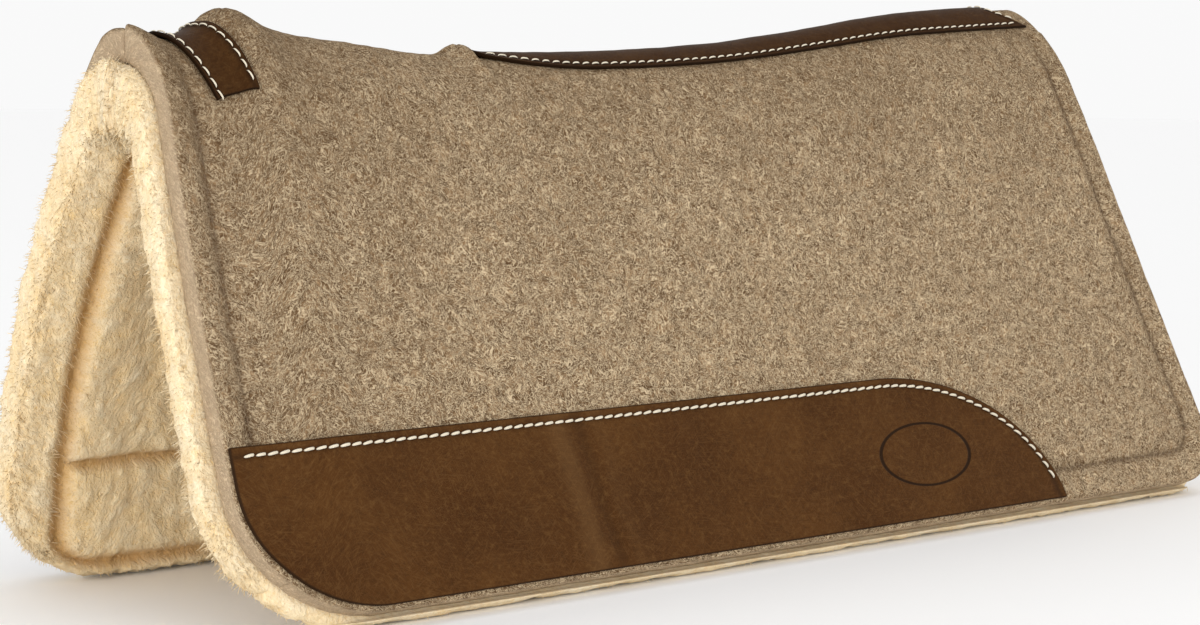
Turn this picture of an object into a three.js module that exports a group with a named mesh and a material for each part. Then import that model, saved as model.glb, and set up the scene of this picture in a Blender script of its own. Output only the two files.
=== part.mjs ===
// A contoured western saddle pad standing on its two lower edges: two wool felt flanks lined with fleece,
// joined along a curved spine, with leather over the spine, a strap over the withers and wear leathers.
// Millimetres. X runs along the spine to the tail, Y to the off side, Z up.
import * as THREE from "three";

// ---- Driving dimensions ----
const SPINE_LENGTH = 813;
const REAR_FLARE = 112; // how much further back the rear edge is at the bottom
const FLARE_POWER = 0.7;
const FELT_EDGE_HEIGHT = 12; // the felt's outer lower edge above the ground
const SHOULDER_REAR = 40; // half width where the ridge rounds into the flank, at the rear end
const CAP_HEIGHT = 48; // height of the rounded ridge above its shoulders
const CAP_SHAPE = 0.85;
// How each flank stands: its felt's outer lower edge from the middle, its half width where the ridge rounds
// into it at the front, how far it hangs in (or out) at its middle, the two edges of its fleece's foot and
// the radius of its front corner.
const NEAR = { spread: 137, shoulder: 50, bow: 5, footIn: 97, footOut: 113, corner: 84 };
const OFF = { spread: 158, shoulder: 54, bow: -24, footIn: 118, footOut: 134, corner: 62 };

const FELT = 17;
const FLEECE_DROP = 54; // from the ridge down to the top of the space under the pad
const FLEECE_CAP = 12;
const FLEECE_TOP_HALF = 11;
const FLEECE_FRONT_OVERHANG = 11;
const REAR_CORNER = 45;
const LEATHER = 3;
const GAP = 0.3;
const LEATHER_GAP = 0.6; // between the felt and a leather
const STRAP_GAP = 1;
const ROW_LIFT = LEATHER_GAP + LEATHER + 1.4; // a stitch row's middle above the felt
const SEAM_HALF_GAP = 0.9;
const SEAM_BEVEL = THREE.MathUtils.degToRad(5.2); // room for the flanks to close about the fold line
const FOLD_HEIGHT = 383;
const NOTCH = { front: 74, rear: 250, half: 5 }; // the open slit behind the wither strap
const THREAD = 0.8; // radius
const THREAD_SIDES = 5;
const EDGE_LIFT = THREAD + 0.6; // the edge seams' thread above the felt
const CENTRE = 1e-4; // a place on the ridge line that still belongs to one flank

// Wear leather: its top above the felt's lower edge, how far its other edge stays inside the felt's, where
// its straight top ends and how far the quarter oval then sweeps, the height of its tip and its stitches'
// inset.
const WEAR = { height: 107, inset: 3, straight: 500, sweep: 138, tip: 6, leastHeight: 1.5, row: 6 };
// Spine leather: the middle of its ends, how far its rear tips reach beyond that, its half widths and where
// it widens, the length of its rounded front end and its stitches' inset.
const SPINE = {
  front: 258, rear: 779, tip: 21, half: 24, rearHalf: 28, widenFrom: 560, widenTo: 740, rounding: 110,
  leastHalf: 3, row: 3.2, endRow: 7,
};
// Wither strap: its front edge and width along the spine, how it slants back down the flanks, its reach down
// each flank, the hollow of its ends and its stitches' inset.
const STRAP = {
  front: 20, width: 34, drift: 0.23, spread: 0.56, reach: 62, rearReach: 9, scallop: 6, row: 4,
};
// Edge seams: their inset from the end edges and from the lower edge, their rear corner's radius and their
// ends.
const EDGE_SEAM = { ends: 19, bottom: 25, turn: 27, frontStart: 74, rearStart: 36, clear: 4, gap: 8 };
const SEAM_DEPTH = 9; // the closing threads below the ridge
const FLEECE_EDGE = 5; // least height of the fleece's outer edge over its foot

// Heights of the spine line along its length: a peak at each end, one behind the strap, and a dip between.
const RIDGE = [
  [0, 358], [26, 349.5], [47, 351.5], [66, 367.5], [100, 357], [160, 349], [230, 341.5],
  [310, 339.5], [388, 341], [479, 346], [572, 356], [664, 368.5], [779, 377], [813, 379],
];

// ---- The flank's shape ----
const RIDGE_SAMPLES = 400;
const PROFILE_STEPS = 160;
const RIDGE_ROUNDING = 12; // arc distance over which the felt's top turns level at the ridge
const ridgeCurve = new THREE.CatmullRomCurve3(
  RIDGE.map(([x, z]) => new THREE.Vector3(x, 0, z)), false, "centripetal",
);
const ridgeSamples = ridgeCurve.getPoints(RIDGE_SAMPLES);

function ridgeHeight(x) {
  const place = THREE.MathUtils.clamp(x, 0, SPINE_LENGTH);
  const after = Math.max(1, ridgeSamples.findIndex((p) => p.x >= place));
  const a = ridgeSamples[after - 1];
  const b = ridgeSamples[after];
  return a.z + ((b.z - a.z) * (place - a.x)) / (b.x - a.x);
}

const seamHalf = (z) => SEAM_HALF_GAP + (FOLD_HEIGHT - z) * Math.tan(SEAM_BEVEL);

// One flank's outer half width at height z, at the station that leaves the spine at x.
function halfWidth(x, z, stance) {
  const ridge = ridgeHeight(x);
  const shoulder = ridge - CAP_HEIGHT;
  const atShoulder = THREE.MathUtils.lerp(stance.shoulder, SHOULDER_REAR, x / SPINE_LENGTH);
  const up = (z - FELT_EDGE_HEIGHT) / (shoulder - FELT_EDGE_HEIGHT);
  const sag = up > 0 && up < 1 ? 4 * stance.bow * up * (1 - up) : 0;
  const line = THREE.MathUtils.lerp(stance.spread, atShoulder, up) - sag;
  const cap = THREE.MathUtils.clamp((z - shoulder) / CAP_HEIGHT, 0, 1);
  return line * Math.pow(1 - cap * cap, CAP_SHAPE / 2);
}

// The outer profile of a station as [half width, height] from the ridge down, with its arc length.
function outerProfile(x, stance) {
  const ridge = ridgeHeight(x);
  const points = [];
  let arc = 0;
  for (let i = 0; i <= PROFILE_STEPS; i += 1) {
    const z = ridge - (ridge - FELT_EDGE_HEIGHT) * Math.pow(i / PROFILE_STEPS, 2);
    const y = halfWidth(x, z, stance);
    if (i > 0) arc += Math.hypot(y - points[i - 1].y, z - points[i - 1].z);
    points.push({ y, z, arc });
  }
  return points;
}

const profiles = new Map();
function profileAt(x, stance) {
  const key = `${x.toFixed(3)}:${stance.spread}`;
  if (!profiles.has(key)) profiles.set(key, outerProfile(x, stance));
  return profiles.get(key);
}

const profileLength = (x, stance) => profileAt(x, stance).at(-1).arc;

function lengthwise(x, z) {
  const ridge = ridgeHeight(x);
  const down = Math.max(0, (ridge - z) / (ridge - FELT_EDGE_HEIGHT));
  return x + REAR_FLARE * (x / SPINE_LENGTH) * Math.pow(down, FLARE_POWER);
}

// A point on a flank: station x along the spine, arc distance s down from the ridge, lift off the felt.
// A negative s is on the near flank.
function onFlank(x, s, lift) {
  const side = s < 0 ? -1 : 1;
  const stance = side < 0 ? NEAR : OFF;
  const profile = profileAt(x, stance);
  const want = Math.abs(s);
  let i = profile.findIndex((p) => p.arc >= want);
  if (i < 1) i = i < 0 ? profile.length - 1 : 1;
  const a = profile[i - 1];
  const b = profile[i];
  const k = (want - a.arc) / (b.arc - a.arc);
  const y = a.y + (b.y - a.y) * k;
  const z = a.z + (b.z - a.z) * k;
  const before = profile[Math.max(0, i - 3)];
  const after = profile[Math.min(profile.length - 1, i + 2)];
  const run = Math.hypot(after.y - before.y, after.z - before.z);
  let ny = (before.z - after.z) / run;
  let nz = (after.y - before.y) / run;
  const flat = THREE.MathUtils.smoothstep(want, 0, RIDGE_ROUNDING);
  ny *= flat;
  nz = Math.sqrt(1 - ny * ny) * Math.sign(nz);
  return new THREE.Vector3(lengthwise(x, z), side * (y + ny * lift), z + nz * lift);
}

// How far the lower outline is raised at station x by the two rounded lower corners of a layer that
// reaches `ahead` past the felt's front edge.
function cornerRise(x, stance, ahead = 0, inset = 0) {
  const rise = (radius, distance) => {
    const along = THREE.MathUtils.clamp(radius - distance, 0, radius);
    return radius - Math.sqrt(radius * radius - along * along);
  };
  const front = rise(stance.corner + ahead - inset, x + ahead);
  return Math.max(front, rise(REAR_CORNER - inset, SPINE_LENGTH - x));
}

// ---- Solids ----
// A closed solid through a row of closed loops that have the same number of points.
function loft(loops) {
  const count = loops[0].length;
  const positions = loops.flat().flatMap((p) => [p.x, p.y, p.z]);
  const index = [];
  for (let i = 0; i + 1 < loops.length; i += 1) {
    for (let j = 0; j < count; j += 1) {
      const a = i * count + j;
      const b = i * count + ((j + 1) % count);
      index.push(a, b, b + count, a, b + count, a + count);
    }
  }
  // Each end is closed by zipping up the loop's two sides, which lie close together.
  const cap = (row, flip) => {
    const loop = loops[row];
    const base = row * count;
    let i = 0;
    let j = count - 1;
    while (j - i > 1) {
      const next = loop[i + 1].distanceTo(loop[j]) < loop[i].distanceTo(loop[j - 1]) ? i + 1 : j - 1;
      index.push(base + i, base + (flip ? j : next), base + (flip ? next : j));
      if (next === i + 1) i += 1;
      else j -= 1;
    }
  };
  cap(0, true);
  cap(loops.length - 1, false);
  return outward(positions, index);
}

// Turns every face over if the solid's faces point inward.
function outward(positions, index) {
  const at = (i) => new THREE.Vector3().fromArray(positions, 3 * i);
  let volume = 0;
  for (let i = 0; i < index.length; i += 3) {
    volume += at(index[i]).dot(at(index[i + 1]).cross(at(index[i + 2])));
  }
  if (volume < 0) {
    for (let i = 0; i < index.length; i += 3) {
      [index[i + 1], index[i + 2]] = [index[i + 2], index[i + 1]];
    }
  }
  const geometry = new THREE.BufferGeometry();
  geometry.setAttribute("position", new THREE.Float32BufferAttribute(positions, 3));
  geometry.setIndex(index);
  geometry.computeVertexNormals();
  return geometry;
}

// A round thread along a smooth route.
function thread(points, steps) {
  const section = Array.from({ length: THREAD_SIDES }, (_, i) => {
    const angle = (2 * Math.PI * i) / THREAD_SIDES;
    return new THREE.Vector2(THREAD * Math.cos(angle), THREAD * Math.sin(angle));
  });
  const shape = new THREE.Shape(section);
  const path = new THREE.CatmullRomCurve3(points, false, "centripetal");
  return new THREE.ExtrudeGeometry(shape, { steps, bevelEnabled: false, extrudePath: path });
}

// Stations from the front edge to the rear edge, closer together round the lower corners and the withers.
function stations() {
  const rear = [0.08, 0.3, 0.6, 1].map((k) => SPINE_LENGTH - REAR_CORNER * k);
  return [
    0, 2, 8, 16, 26, 36, 46, 52, 58, 64, 70, 80, 92, 120, 160, 200, 235, 250, 300, 360, 420, 480, 540, 600,
    660, 720,
    ...rear.reverse(), SPINE_LENGTH,
  ];
}

// Extra distance of the cut edge from the middle where the notch is open.
function notchHalf(x) {
  const inside = x > NOTCH.front && x < NOTCH.rear;
  const along = (x - NOTCH.front) / (NOTCH.rear - NOTCH.front);
  return inside ? NOTCH.half * Math.sqrt(Math.sin(Math.PI * along)) : 0;
}

// The arc distance at which a lifted profile leaves the bevelled seam face.
function seamArc(x, side, lift) {
  const halvings = 40;
  let low = 0;
  let high = 60;
  for (let i = 0; i < halvings; i += 1) {
    const middle = (low + high) / 2;
    const p = onFlank(x, side * Math.max(middle, CENTRE), lift);
    if (Math.abs(p.y) > seamHalf(p.z) + notchHalf(x)) high = middle;
    else low = middle;
  }
  return high;
}

// Distances down a flank from `first` to `last`: the same ones on every layer, closer together over the
// ridge, and squeezed up against `last` where a rounded corner cuts the flank short.
const ARCS = [30, 40, 50, 62, 80, 110, 150, 190, 230, 270, 305, 335, 360];
const LEAST_STEP = 2;
function downFlank(first, last) {
  const lead = [0, 1 / 3, 2 / 3].map((k) => THREE.MathUtils.lerp(first, ARCS[0], k));
  const fixed = ARCS.map((arc, i) => Math.min(arc, last - LEAST_STEP * (ARCS.length - i)));
  return [...lead, ...fixed, last];
}

function feltPanel(side) {
  const stance = side < 0 ? NEAR : OFF;
  const loops = stations().map((x) => {
    const end = profileLength(x, stance) - cornerRise(x, stance);
    const outer = downFlank(seamArc(x, side, 0), end).map((s) => onFlank(x, side * s, 0));
    const inner = downFlank(seamArc(x, side, -FELT), end).map((s) => onFlank(x, side * s, -FELT));
    return [...outer, ...inner.reverse()];
  });
  return loft(loops);
}

// Half width of the fleece's inner face at height z.
function fleeceInner(x, z, stance) {
  const top = ridgeHeight(x) - FLEECE_DROP;
  const shoulder = top - FLEECE_CAP;
  const cap = THREE.MathUtils.clamp((z - shoulder) / FLEECE_CAP, 0, 1);
  const up = THREE.MathUtils.clamp(z / shoulder, 0, 1);
  const line = THREE.MathUtils.lerp(stance.footIn, FLEECE_TOP_HALF, up) - 4 * stance.bow * up * (1 - up);
  return Math.max(line * Math.sqrt(1 - cap * cap), seamHalf(z) + notchHalf(x));
}

const INNER_ROWS = 10;
function fleeceLining(side) {
  const stance = side < 0 ? NEAR : OFF;
  const lift = -(FELT + GAP);
  const ahead = FLEECE_FRONT_OVERHANG;
  const overhang = [1, 0.86, 0.5].map((k) => -ahead * k);
  const loops = [...overhang, ...stations()].map((x) => {
    const rise = cornerRise(x, stance, ahead);
    const end = profileLength(x, stance) - rise;
    const outer = downFlank(seamArc(x, side, lift), end).map((s) => onFlank(x, side * s, lift));
    const low = Math.min(rise, outer.at(-1).z - FLEECE_EDGE);
    const lean = (stance.spread - stance.shoulder) / (ridgeHeight(x) - CAP_HEIGHT);
    const foot = [stance.footOut, stance.footIn].map((y) =>
      new THREE.Vector3(lengthwise(x, low), side * (y - low * lean), low));
    const top = ridgeHeight(x) - FLEECE_DROP;
    const inner = Array.from({ length: INNER_ROWS }, (_, i) => {
      const z = top - (top - low) * Math.pow(i / INNER_ROWS, 1.5);
      return new THREE.Vector3(lengthwise(x, z), side * fleeceInner(x, z, stance), z);
    });
    return [...outer, ...foot, ...inner.reverse()];
  });
  return loft(loops);
}

// The upper edge of the wear leather above the felt's lower edge.
function wearTop(x) {
  const past = THREE.MathUtils.clamp((x - WEAR.straight) / WEAR.sweep, 0, 1);
  return WEAR.tip + (WEAR.height - WEAR.tip) * Math.sqrt(1 - past * past);
}

function wearLeather(side) {
  const stance = side < 0 ? NEAR : OFF;
  const xs = [];
  const turns = 6;
  for (let i = 0; i <= turns; i += 1) {
    xs.push(0.5 + stance.corner * (1 - Math.cos((i / turns) * (Math.PI / 2))));
  }
  for (let x = 140; x < WEAR.straight; x += 60) xs.push(x);
  for (let i = 0; i <= turns; i += 1) {
    xs.push(WEAR.straight + WEAR.sweep * Math.sin((i / turns) * (Math.PI / 2)));
  }
  const rows = 5;
  const loops = xs.map((x) => {
    const length = profileLength(x, stance);
    const low = cornerRise(x, stance, 0, WEAR.inset) + WEAR.inset;
    const high = Math.max(wearTop(x), low + WEAR.leastHeight);
    const strip = (lift) => Array.from({ length: rows + 1 }, (_, i) =>
      onFlank(x, side * (length - THREE.MathUtils.lerp(high, low, i / rows)), lift));
    return [...strip(LEATHER_GAP + LEATHER), ...strip(LEATHER_GAP).reverse()];
  });
  return loft(loops);
}

function wearStitching(side) {
  const stance = side < 0 ? NEAR : OFF;
  const points = [];
  const turns = 8;
  const at = (x, b) => points.push(
    onFlank(x, side * (profileLength(x, stance) - b), ROW_LIFT),
  );
  for (let x = 6; x < WEAR.straight; x += 60) at(x, WEAR.height - WEAR.row);
  for (let i = 0; i < turns; i += 1) {
    const angle = (i / turns) * (Math.PI / 2);
    const along = (WEAR.sweep - WEAR.row) * Math.sin(angle);
    at(WEAR.straight + along, WEAR.tip + (WEAR.height - WEAR.row - WEAR.inset) * Math.cos(angle));
  }
  return thread(points, 34);
}

// Half width of the spine leather at x: a rounded front end, then a slow widening to the rear.
function spineHalf(x) {
  const k = THREE.MathUtils.clamp((x - SPINE.front) / SPINE.rounding, 0, 1);
  const rounded = Math.sqrt(1 - (1 - k) * (1 - k));
  const widening = THREE.MathUtils.smoothstep(x, SPINE.widenFrom, SPINE.widenTo);
  return Math.max(SPINE.leastHalf, THREE.MathUtils.lerp(SPINE.half, SPINE.rearHalf, widening) * rounded);
}

function spineLeather() {
  const across = 10;
  const lengths = [0, 0.01, 0.03, 0.06, 0.1, 0.15, 0.22, 0.32, 0.42, 0.52, 0.62, 0.72, 0.82, 0.92, 1];
  const loops = lengths.map((k) => {
    const strip = (lift) => Array.from({ length: across + 1 }, (_, i) => {
      const v = (2 * i) / across - 1;
      const x = SPINE.front + (SPINE.rear + SPINE.tip * v * v - SPINE.front) * k;
      return onFlank(x, v * spineHalf(x) || CENTRE, lift);
    });
    return [...strip(LEATHER_GAP + LEATHER), ...strip(LEATHER_GAP).reverse()];
  });
  return loft(loops);
}

function spineRow(side) {
  const points = [];
  for (let x = SPINE.front + 10; x < SPINE.rear + SPINE.tip - 8; x += 30) {
    const half = Math.max(2, spineHalf(x) - SPINE.row);
    points.push(onFlank(x, side * half, ROW_LIFT));
  }
  return thread(points, 36);
}

function spineEndRow() {
  const points = [];
  const half = 5;
  for (let i = -half; i <= half; i += 1) {
    const v = i / half;
    const x = SPINE.rear - SPINE.row + (SPINE.tip - SPINE.row) * v * v;
    points.push(onFlank(x, v * (spineHalf(x) - SPINE.endRow) || CENTRE, ROW_LIFT));
  }
  return thread(points, 16);
}

function strapX(s, v) {
  return STRAP.front + STRAP.drift * Math.abs(s) * (1 - STRAP.spread * v) + STRAP.width * v;
}

function witherStrap() {
  const along = 22;
  const across = 8;
  const loops = Array.from({ length: along + 1 }, (_, i) => {
    const u = (2 * i) / along - 1;
    const strip = (lift) => Array.from({ length: across + 1 }, (_unused, j) => {
      const v = j / across;
      const s = u * (STRAP.reach - STRAP.scallop * 4 * v * (1 - v) + STRAP.rearReach * v);
      return onFlank(strapX(s, v), s || CENTRE, lift);
    });
    return [...strip(STRAP_GAP + LEATHER), ...strip(STRAP_GAP).reverse()];
  });
  return loft(loops);
}

function strapRow(v) {
  const points = [];
  const steps = 22;
  for (let i = 0; i <= steps; i += 1) {
    const s = ((2 * i) / steps - 1) * (STRAP.reach - STRAP.row + 1);
    points.push(onFlank(strapX(s, v), s || CENTRE, ROW_LIFT + STRAP_GAP - LEATHER_GAP));
  }
  return thread(points, 24);
}

// The quilting seam just inside the felt's edge, from the ridge down the front edge to the wear leather.
function frontEdgeSeam(side) {
  const stance = side < 0 ? NEAR : OFF;
  const x = EDGE_SEAM.ends;
  const low = profileLength(x, stance) - WEAR.height - EDGE_SEAM.clear;
  const points = [];
  const steps = 14;
  for (let i = 0; i <= steps; i += 1) {
    const s = THREE.MathUtils.lerp(EDGE_SEAM.frontStart, low, i / steps);
    points.push(onFlank(x, side * s, EDGE_LIFT));
  }
  return thread(points, 20);
}

// The same seam down the rear edge, round the rear corner and forward to the tip of the wear leather.
function rearEdgeSeam(side) {
  const stance = side < 0 ? NEAR : OFF;
  const x = SPINE_LENGTH - EDGE_SEAM.ends;
  const points = [];
  const at = (along, up) => points.push(
    onFlank(along, side * (profileLength(along, stance) - EDGE_SEAM.bottom - up), EDGE_LIFT),
  );
  const drop = profileLength(x, stance) - EDGE_SEAM.bottom - EDGE_SEAM.rearStart;
  const steps = 16;
  for (let i = 0; i < steps; i += 1) at(x, THREE.MathUtils.lerp(drop, EDGE_SEAM.turn, i / steps));
  const turns = 3;
  for (let i = 0; i <= turns; i += 1) {
    const angle = (i / turns) * (Math.PI / 2);
    at(x - EDGE_SEAM.turn * (1 - Math.cos(angle)), EDGE_SEAM.turn * (1 - Math.sin(angle)));
  }
  for (const along of [720, 680, WEAR.straight + WEAR.sweep + EDGE_SEAM.gap]) at(along, 0);
  return thread(points, 34);
}

// The thread that closes the two flanks along the spine, just under the ridge between their cut faces.
function seamThread(from, to, steps) {
  const points = [];
  for (let i = 0; i <= steps; i += 1) {
    const x = THREE.MathUtils.lerp(from, to, i / steps);
    points.push(new THREE.Vector3(x, 0, ridgeHeight(x) - SEAM_DEPTH));
  }
  return thread(points, steps);
}

// ---- Materials ----
const material = (color, roughness) => new THREE.MeshStandardMaterial({ color, roughness, metalness: 0 });
const felt = material(0x9b8568, 0.95);
const fleece = material(0xe6d3a4, 0.98);
const leather = material(0x4a3019, 0.55);
const whiteThread = material(0xe8ddc9, 0.7);
const feltThread = material(0x8a7357, 0.85);

// ---- Assembly ----
const pad = new THREE.Group();
function add(name, geometry, look) {
  const mesh = new THREE.Mesh(geometry, look);
  mesh.name = name;
  pad.add(mesh);
}

for (const [name, side] of [["near", -1], ["off", 1]]) {
  add(`${name}_felt_panel`, feltPanel(side), felt);
  add(`${name}_fleece_lining`, fleeceLining(side), fleece);
  add(`${name}_wear_leather`, wearLeather(side), leather);
  add(`${name}_wear_stitching`, wearStitching(side), whiteThread);
  add(`${name}_front_edge_seam`, frontEdgeSeam(side), feltThread);
  add(`${name}_rear_edge_seam`, rearEdgeSeam(side), feltThread);
  add(`spine_stitching_${name}`, spineRow(side), whiteThread);
}
add("spine_leather", spineLeather(), leather);
add("spine_stitching_rear", spineEndRow(), whiteThread);
add("wither_strap", witherStrap(), leather);
add("strap_stitching_front", strapRow(STRAP.row / STRAP.width), whiteThread);
add("strap_stitching_rear", strapRow(1 - STRAP.row / STRAP.width), whiteThread);
add("wither_seam_thread", seamThread(2, NOTCH.front - EDGE_SEAM.clear, 4), feltThread);
const closed = { from: NOTCH.rear + EDGE_SEAM.clear, to: SPINE_LENGTH - WEAR.inset };
add("spine_seam_thread", seamThread(closed.from, closed.to, 24), feltThread);

// The origin is on the ground under the middle of the pad's box.
const box = new THREE.Box3().setFromObject(pad);
pad.position.set(-(box.min.x + box.max.x) / 2, -(box.min.y + box.max.y) / 2, -box.min.z);

export default pad;
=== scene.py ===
"""A contoured western saddle pad standing on its lower edges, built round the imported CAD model."""
import math

import bpy
import numpy as np
from mathutils import Matrix, Vector
from mathutils.kdtree import KDTree


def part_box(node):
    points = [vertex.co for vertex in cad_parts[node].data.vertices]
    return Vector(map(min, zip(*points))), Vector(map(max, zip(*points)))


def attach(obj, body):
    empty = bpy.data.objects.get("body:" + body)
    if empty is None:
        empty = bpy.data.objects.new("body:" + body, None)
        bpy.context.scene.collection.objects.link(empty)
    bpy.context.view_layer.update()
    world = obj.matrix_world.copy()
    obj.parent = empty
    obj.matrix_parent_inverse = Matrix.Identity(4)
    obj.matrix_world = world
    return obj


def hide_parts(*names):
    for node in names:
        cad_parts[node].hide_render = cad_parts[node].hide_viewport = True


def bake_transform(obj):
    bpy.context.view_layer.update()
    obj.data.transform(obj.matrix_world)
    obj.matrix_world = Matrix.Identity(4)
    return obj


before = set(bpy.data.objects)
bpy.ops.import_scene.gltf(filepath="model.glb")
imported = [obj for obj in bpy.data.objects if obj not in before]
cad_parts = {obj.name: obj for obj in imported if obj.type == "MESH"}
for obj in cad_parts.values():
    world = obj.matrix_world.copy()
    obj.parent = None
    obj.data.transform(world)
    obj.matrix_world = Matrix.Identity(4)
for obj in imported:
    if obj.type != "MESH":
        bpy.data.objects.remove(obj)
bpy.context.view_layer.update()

# ---- The pad's shape, the same as the CAD source's. Millimetres, x from the felt's front edge ----
LENGTH = 813
FLARE = 112
FLARE_POWER = 0.7
FELT_EDGE = 12
SHOULDER_REAR = 40
CAP = 48
CAP_SHAPE = 0.85
STANCE = {
    -1: {"spread": 137, "shoulder": 50, "bow": 5, "foot": 97, "corner": 84, "ahead": 9, "roll": 2},
    1: {"spread": 158, "shoulder": 54, "bow": -24, "foot": 118, "corner": 62, "ahead": 13, "roll": 9},
}
FELT = 17
PILE_TOP = 54
PILE_CAP = 12
PILE_TOP_HALF = 11
PILE_THICK = 26.0
REAR_CORNER = 45
LEATHER = 3
NOTCH = (74, 250, 5)
SEAM_HALF = 0.2
WEAR_HEIGHT = 107
WEAR_STRAIGHT = 500
WEAR_SWEEP = 138
WEAR_TIP = 6
WEAR_ROW = 6.0  # its stitches' inset
SEAM_ENDS = 19.0  # the quilting seam's inset from the felt's ends
SEAM_LOW = 25.0  # and from its lower edge
SEAM_TURN = 27  # the seam's radius at the rear corner
SPINE = {"front": 258, "rear": 779, "tip": 21, "half": 24, "rear_half": 28, "row": 3.2}
SPINE_LONG = SPINE["rear"] - SPINE["front"]
STRAP = {
    "front": 20, "width": 34, "drift": 0.23, "spread": 0.56, "reach": 62, "rear_reach": 9, "scallop": 6,
    "row": 3.2,
}
RIDGE = np.array([
    (0, 358), (26, 349.5), (47, 351.5), (66, 367.5), (100, 357), (160, 349), (230, 341.5), (310, 339.5),
    (388, 341), (479, 346), (572, 356), (664, 368.5), (779, 377), (813, 379),
])
FRONT_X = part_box("near_felt_panel")[0].x * 1000
SEAM_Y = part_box("near_felt_panel")[0].y * 1000 + STANCE[-1]["spread"]
HALVES = (("near", -1), ("off", 1))
NOMINAL = 380.0  # the height of a flank in the lattices below


def smooth(value, low, high):
    k = np.clip((value - low) / (high - low), 0, 1)
    return k * k * (3 - 2 * k)


def bell(value, width):
    return np.exp(-0.5 * (value / width) ** 2)


def lerp(a, b, k):
    return a + (b - a) * k


def ridge(x):
    """Height of the spine line: a smooth curve through RIDGE."""
    xs, zs = RIDGE.T
    slope = np.gradient(zs, xs)
    x = np.clip(x, 0, LENGTH)
    i = np.clip(np.searchsorted(xs, x) - 1, 0, len(xs) - 2)
    width = xs[i + 1] - xs[i]
    k = (x - xs[i]) / width
    return (
        (1 + 2 * k) * (1 - k) ** 2 * zs[i]
        + k * (1 - k) ** 2 * width * slope[i]
        + k * k * (3 - 2 * k) * zs[i + 1]
        + k * k * (k - 1) * width * slope[i + 1]
    )


def half_width(x, z, stance):
    top = ridge(x)
    shoulder = top - CAP
    up = (z - FELT_EDGE) / (shoulder - FELT_EDGE)
    sag = np.where((up > 0) & (up < 1), 4 * stance["bow"] * up * (1 - up), 0)
    shoulder_half = lerp(stance["shoulder"], SHOULDER_REAR, np.clip(x, 0, LENGTH) / LENGTH)
    line = lerp(stance["spread"], shoulder_half, up) - sag
    cap = np.clip((z - shoulder) / CAP, 0, 1)
    return line * (1 - cap * cap) ** (CAP_SHAPE / 2)


def lengthwise(x, z):
    top = ridge(x)
    down = np.clip((top - z) / (top - FELT_EDGE), 0, None)
    return x + FLARE * (x / LENGTH) * down**FLARE_POWER


class Flank:
    """The felt's outer face on one side, looked up by station x and arc distance s down from the ridge."""

    STEP = 3.0
    SAMPLES = 420

    def __init__(self, side):
        self.side = side
        self.stations = np.arange(0, LENGTH + self.STEP, self.STEP)
        fine = np.linspace(0, 1, 900) ** 2
        x = np.minimum(self.stations, LENGTH)[:, None]
        z = ridge(x) - (ridge(x) - FELT_EDGE) * fine[None, :]
        y = half_width(x + 0 * z, z, STANCE[side])
        arc = np.concatenate([np.zeros((len(x), 1)), np.cumsum(np.hypot(np.diff(y), np.diff(z)), 1)], 1)
        self.lengths = arc[:, -1]
        share = np.linspace(0, 1, self.SAMPLES)
        self.y = np.array([np.interp(share * a[-1], a, row) for a, row in zip(arc, y)])
        self.z = np.array([np.interp(share * a[-1], a, row) for a, row in zip(arc, z)])
        dy = np.gradient(self.y, axis=1)
        dz = np.gradient(self.z, axis=1)
        kernel = np.ones(9) / 9
        ny = -dz / np.hypot(dy, dz)
        padded = np.pad(ny, ((0, 0), (4, 4)), "edge")
        self.ny = np.array([np.convolve(row, kernel, "valid") for row in padded])

    def length(self, x):
        return np.interp(np.clip(x, 0, LENGTH), self.stations, self.lengths)

    def _look_up(self, table, x, share):
        i = np.clip(x, 0, LENGTH) / self.STEP
        j = np.clip(share, 0, 1) * (self.SAMPLES - 1)
        i0 = np.minimum(i.astype(int), len(table) - 2)
        j0 = np.minimum(j.astype(int), self.SAMPLES - 2)
        a, b = i - i0, j - j0
        return lerp(
            lerp(table[i0, j0], table[i0 + 1, j0], a), lerp(table[i0, j0 + 1], table[i0 + 1, j0 + 1], a), b
        )

    def at(self, x, s, lift):
        """Points (n, 3) at lift off the felt's outer face. A place past the lower edge goes straight on."""
        x, s, lift = np.broadcast_arrays(np.asarray(x, float), np.asarray(s, float), np.asarray(lift, float))
        length = self.length(x)
        share = s / length
        y = self._look_up(self.y, x, share)
        z = self._look_up(self.z, x, share)
        ny = self._look_up(self.ny, x, share) * smooth(s, 0, 12)
        nz = np.sqrt(1 - ny * ny)
        past = np.maximum(s - length, 0)
        y = y + ny * lift + nz * past
        z = z + nz * lift - ny * past
        return np.stack([lengthwise(x, z), self.side * y, z], -1)

    def seam_arc(self, x, lift, half):
        """The arc distance at which the face at that lift is `half` from the middle."""
        low = np.zeros_like(x)
        high = np.full_like(x, 60.0)
        for _ in range(24):
            middle = (low + high) / 2
            outside = np.abs(self.at(x, middle, lift)[..., 1]) > half
            high = np.where(outside, middle, high)
            low = np.where(outside, low, middle)
        return high


FLANKS = {side: Flank(side) for _, side in HALVES}


def gap_half(x):
    """Half the gap between the flanks, which widens in the notch behind the withers."""
    start, end, half = NOTCH
    along = np.clip((x - start) / (end - start), 0, 1)
    return SEAM_HALF + half * np.sqrt(np.sin(np.pi * along))


# ---- Noise, the same every run ----
def _lattice(seed):
    rng = np.random.default_rng(seed)
    directions = unit(rng.normal(size=(256, 3)))
    return rng.permutation(256), directions, rng.random((256, 3))


def _hash(perm, i):
    return perm[(perm[(perm[i[:, 0] & 255] + i[:, 1]) & 255] + i[:, 2]) & 255]


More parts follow.
